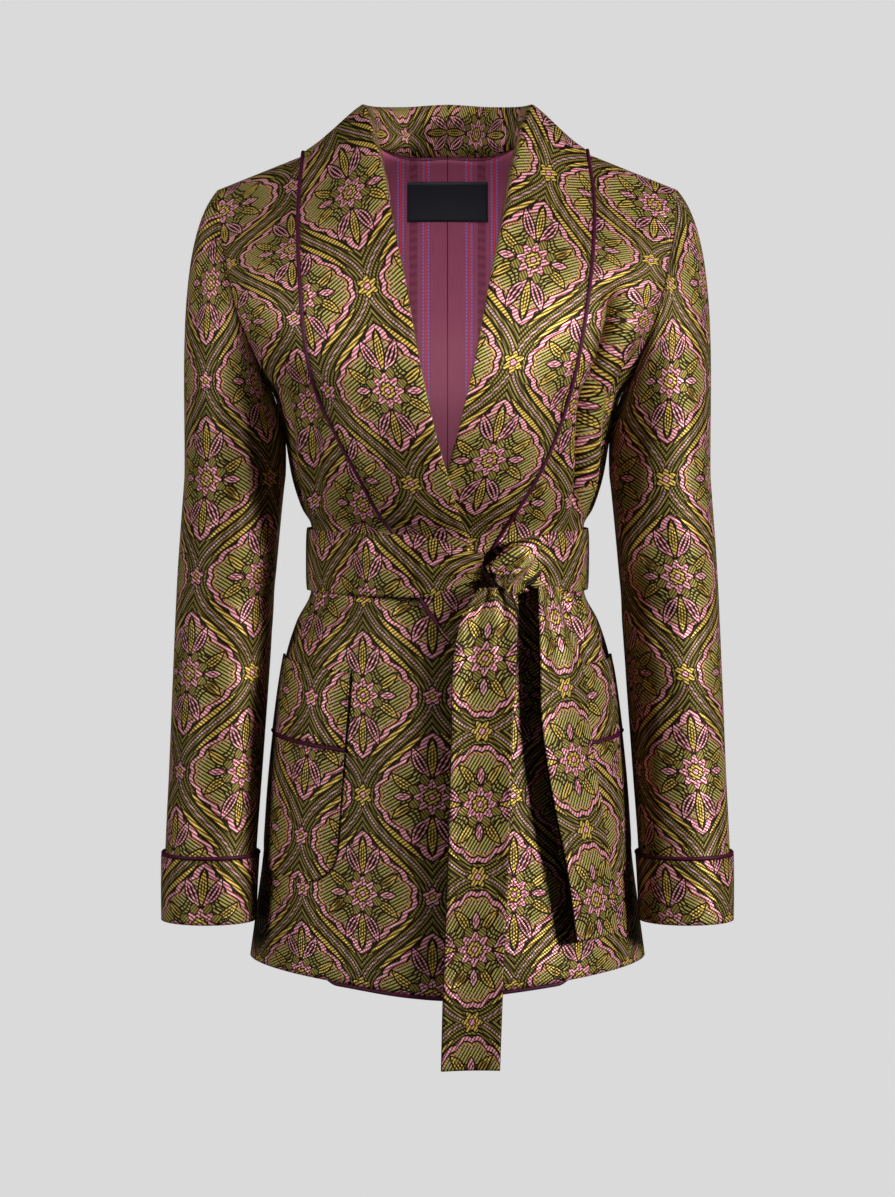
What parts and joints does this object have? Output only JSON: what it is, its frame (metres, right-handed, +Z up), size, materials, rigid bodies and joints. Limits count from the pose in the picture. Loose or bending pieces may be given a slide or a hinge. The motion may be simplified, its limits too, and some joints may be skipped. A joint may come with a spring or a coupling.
{
  "type": "belted shawl-collar jacket",
  "caption": "Hip-length belted jacket with a piped shawl collar, turn-back cuffs and patch pockets, cut in heavy patterned jacquard and shown filled out but empty.",
  "frame": {"origin": "inside the neck on the centre line, level with the shoulders, where the wearer holds the jacket up", "axes": "+Z up, -Y out of the front, +X to the wearer's left"},
  "size_m": [0.497, 0.2706, 0.8206],
  "materials": {
    "patterned_cloth": "woven jacquard with a soft sheen",
    "piping_cord": "matt burgundy cord",
    "lining_satin": "striped satin",
    "label_cloth": "plain matt"
  },
  "bodies": {
    "root": {"back": "patterned_cloth", "front_right": "patterned_cloth", "front_left": "patterned_cloth", "collar_right": "patterned_cloth", "collar_left": "patterned_cloth", "sleeve_right": "patterned_cloth", "sleeve_left": "patterned_cloth", "cuff_right": "patterned_cloth", "cuff_left": "patterned_cloth", "pocket_right": "patterned_cloth", "pocket_left": "patterned_cloth", "pocket_band_right": "patterned_cloth", "pocket_band_left": "patterned_cloth", "belt_back": "patterned_cloth", "belt_right": "patterned_cloth", "belt_left": "patterned_cloth", "belt_tail_long": "patterned_cloth", "belt_tail_short": "patterned_cloth", "belt_knot": "patterned_cloth", "collar_piping_right": "piping_cord", "collar_piping_left": "piping_cord", "edge_piping_right": "piping_cord", "edge_piping_left": "piping_cord", "cuff_piping_right": "piping_cord", "cuff_piping_left": "piping_cord", "pocket_piping_right": "piping_cord", "pocket_piping_left": "piping_cord", "lining_back": "lining_satin", "label": "label_cloth"}
  },
  "joints": []
}
